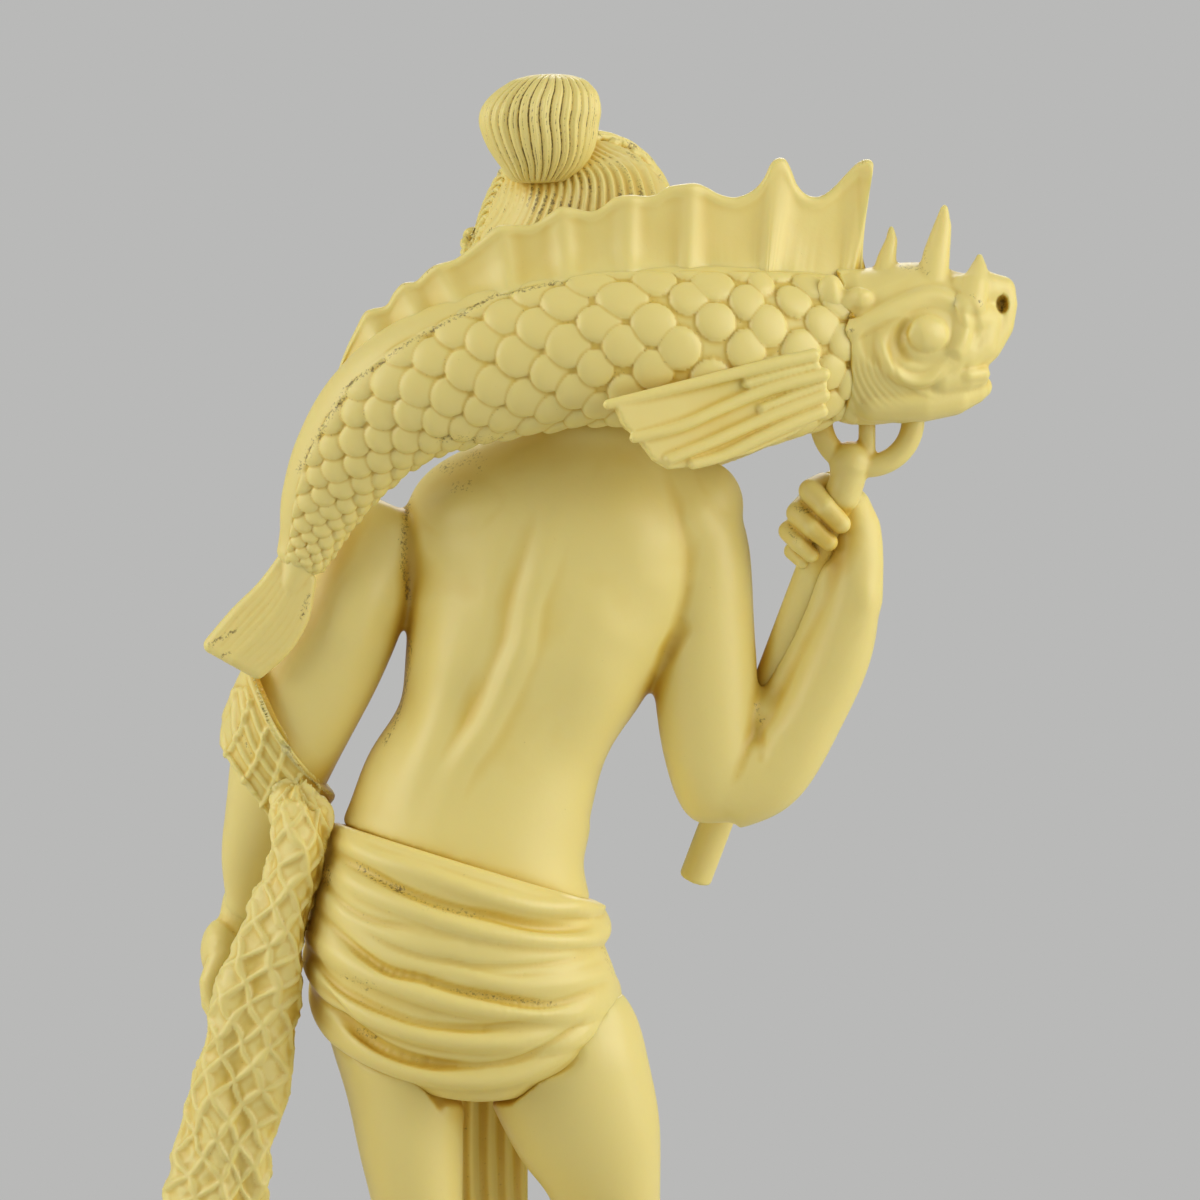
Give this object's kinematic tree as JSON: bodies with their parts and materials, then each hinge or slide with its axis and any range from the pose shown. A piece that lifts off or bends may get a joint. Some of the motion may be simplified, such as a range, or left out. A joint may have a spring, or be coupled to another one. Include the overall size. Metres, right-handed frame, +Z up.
{
  "type": "okimono carving",
  "caption": "Standing carved fisherman seen with a large horned fish across the shoulders, a gaff in one fist, a fishing net over the other arm and a rock base.",
  "frame": {"origin": "middle of the flat underside of the rock base", "axes": "+Z up, +Y the way the figure faces, +X towards the fish's head, the figure's right hand"},
  "size_m": [0.1435, 0.0715, 0.2573],
  "materials": {
    "cast_resin": "satin"
  },
  "bodies": {
    "root": {"dorsal_fin": "cast_resin", "far_fish_eye": "cast_resin", "far_pectoral_fin": "cast_resin", "fish_body": "cast_resin", "fish_gill_pin": "cast_resin", "fish_head": "cast_resin", "fish_nape_pin": "cast_resin", "front_horn": "cast_resin", "gaff_fork": "cast_resin", "gaff_pole": "cast_resin", "head": "cast_resin", "left_arm": "cast_resin", "left_foot_pin": "cast_resin", "left_hand": "cast_resin", "left_leg": "cast_resin", "left_shoulder_pin": "cast_resin", "loin_wrap": "cast_resin", "middle_horn": "cast_resin", "near_fish_eye": "cast_resin", "near_pectoral_fin": "cast_resin", "neck_pin": "cast_resin", "net_drape": "cast_resin", "net_fall": "cast_resin", "rear_horn": "cast_resin", "right_foot_pin": "cast_resin", "right_forearm": "cast_resin", "right_hand": "cast_resin", "right_leg": "cast_resin", "right_shoulder_pin": "cast_resin", "right_upper_arm": "cast_resin", "rock_base": "cast_resin", "tail_fin": "cast_resin", "topknot": "cast_resin", "topknot_pin": "cast_resin", "torso": "cast_resin", "waist_pin": "cast_resin", "wrap_flap": "cast_resin"}
  },
  "joints": []
}
